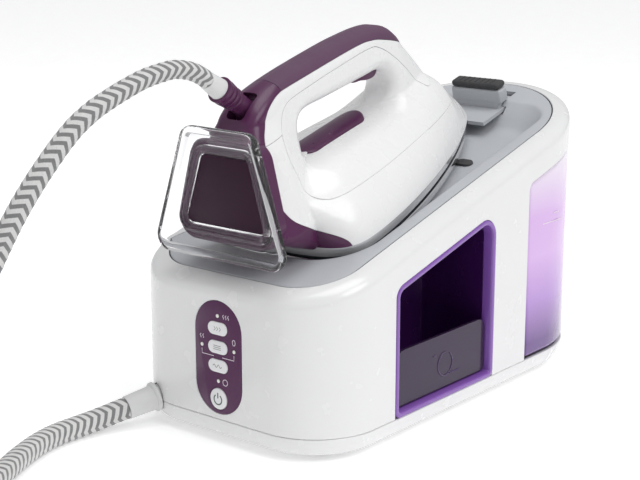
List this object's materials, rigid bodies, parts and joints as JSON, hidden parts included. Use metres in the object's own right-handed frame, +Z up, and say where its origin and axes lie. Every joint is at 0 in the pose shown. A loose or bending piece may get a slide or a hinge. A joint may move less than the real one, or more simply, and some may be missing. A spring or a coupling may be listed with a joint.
{
  "type": "steam generator iron",
  "caption": "Steam generator iron: base with boiler, removable water tank, storage pocket and control panel, and a corded iron with heel stand on its sloping rest.",
  "frame": {"origin": "middle of the base station's footprint, on the surface its feet stand on", "axes": "+Z up, -Y the front with the control panel, +Y the water tank end, +X the side with the storage pocket"},
  "size_m": [0.3048, 0.718, 0.2798],
  "materials": {
    "housing_white": "gloss",
    "iron_white": "gloss",
    "button_white": "satin",
    "deck_grey": "satin",
    "mech_grey": "satin",
    "aubergine": "gloss",
    "dark_purple": "gloss",
    "soft_grip": "matte",
    "pocket_violet": "gloss",
    "tank_violet": "gloss, translucent",
    "smoke_clear": "gloss, translucent",
    "clear_plastic": "gloss, clear",
    "soft_black": "matte",
    "foot_rubber": "matte",
    "sleeve_grey": "satin",
    "hose_fabric": "braided, two-tone zigzag",
    "sole_metal": "polished",
    "shield_grey": "satin",
    "cast_metal": "as cast",
    "steel": "brushed",
    "dark_metal": "dark",
    "brass": "satin",
    "silicone": "matte, flexible",
    "circuit_board": "satin",
    "lamp": "gloss, translucent"
  },
  "bodies": {
    "base": {"base_tray": "housing_white", "housing_shell": "housing_white", "tank_bulkhead": "housing_white", "rest_deck": "deck_grey", "foot_front_left": "foot_rubber", "foot_front_right": "foot_rubber", "foot_rear_left": "foot_rubber", "foot_rear_right": "foot_rubber", "rest_pad_front_left": "foot_rubber", "rest_pad_front_right": "foot_rubber", "rest_pad_rear_left": "foot_rubber", "rest_pad_rear_right": "foot_rubber", "storage_pocket": "pocket_violet", "storage_fence": "smoke_clear", "control_panel": "aubergine", "lamp_turbo": "lamp", "lamp_left": "lamp", "lamp_right": "lamp", "lamp_clean": "lamp", "control_board": "circuit_board", "valve_seat": "mech_grey", "boiler": "steel", "boiler_heater": "dark_metal", "boiler_bracket_left": "mech_grey", "boiler_bracket_right": "mech_grey", "steam_valve": "brass", "pump": "mech_grey", "inlet_pipe": "silicone", "feed_pipe": "silicone", "steam_pipe": "silicone", "hose_boot": "sleeve_grey", "mains_gland": "soft_black", "hose_lower": "hose_fabric", "hose_coil": "hose_fabric"},
    "iron": {"soleplate": "sole_metal", "heat_shield": "shield_grey", "steam_chamber": "cast_metal", "rear_shell": "aubergine", "grip_strip": "soft_grip", "handle_cover": "iron_white", "body_skirt": "iron_white", "saddle_shell": "iron_white", "indicator_lens": "aubergine", "trigger_switch": "soft_black", "heel_stand": "clear_plastic", "heel_plate": "dark_purple", "hose_upper": "hose_fabric"},
    "steam_trigger": {"steam_trigger": "aubergine"},
    "hose_collar": {"hose_swivel": "aubergine", "hose_cuff": "sleeve_grey"},
    "lock": {"lock_slider": "deck_grey", "lock_grip": "soft_black"},
    "tank": {"water_tank": "tank_violet", "tank_valve": "mech_grey", "tank_seal": "foot_rubber"},
    "filler_flap": {"filler_flap": "pocket_violet"},
    "button_turbo": {"button_turbo": "button_white"},
    "button_mode": {"button_mode": "button_white"},
    "button_clean": {"button_clean": "button_white"},
    "button_power": {"button_power": "button_white"}
  },
  "joints": [
    {"name": "iron_lift", "type": "slide", "parent": "base", "child": "iron", "axis": [0, -0.2713, 0.9625], "range_m": [0, 0.1]},
    {"name": "steam_trigger_pull", "type": "hinge", "parent": "iron", "child": "steam_trigger", "pos_m": [0, -0.01996, 0.25142], "axis": [1, 0, 0], "range_deg": [-6, 0], "stiffness_Nm_per_rad": 0.08, "springref_deg": 5.73},
    {"name": "hose_swivel_turn", "type": "hinge", "parent": "iron", "child": "hose_collar", "pos_m": [0, -0.14945, 0.22979], "axis": [1, 0, 0], "range_deg": [-12, 12]},
    {"name": "lock_slide", "type": "slide", "parent": "base", "child": "lock", "axis": [0, 0.9625, 0.2713], "range_m": [0, 0.01]},
    {"name": "tank_slide", "type": "slide", "parent": "base", "child": "tank", "axis": [0, 1, 0], "range_m": [0, 0.15]},
    {"name": "filler_flap_turn", "type": "hinge", "parent": "tank", "child": "filler_flap", "pos_m": [0, 0.15189, 0.17805], "axis": [1, 0, 0], "range_deg": [0, 60], "stiffness_Nm_per_rad": 0.002, "springref_deg": -22.92},
    {"name": "button_turbo_press", "type": "slide", "parent": "base", "child": "button_turbo", "axis": [0, 1, 0], "range_m": [0, 0.0012], "stiffness_N_per_m": 600, "springref_m": -0.0005},
    {"name": "button_mode_press", "type": "slide", "parent": "base", "child": "button_mode", "axis": [0, 1, 0], "range_m": [0, 0.0012], "stiffness_N_per_m": 600, "springref_m": -0.0005},
    {"name": "button_clean_press", "type": "slide", "parent": "base", "child": "button_clean", "axis": [0, 1, 0], "range_m": [0, 0.0012], "stiffness_N_per_m": 600, "springref_m": -0.0005},
    {"name": "button_power_press", "type": "slide", "parent": "base", "child": "button_power", "axis": [0, 1, 0], "range_m": [0, 0.0012], "stiffness_N_per_m": 600, "springref_m": -0.0005}
  ]
}
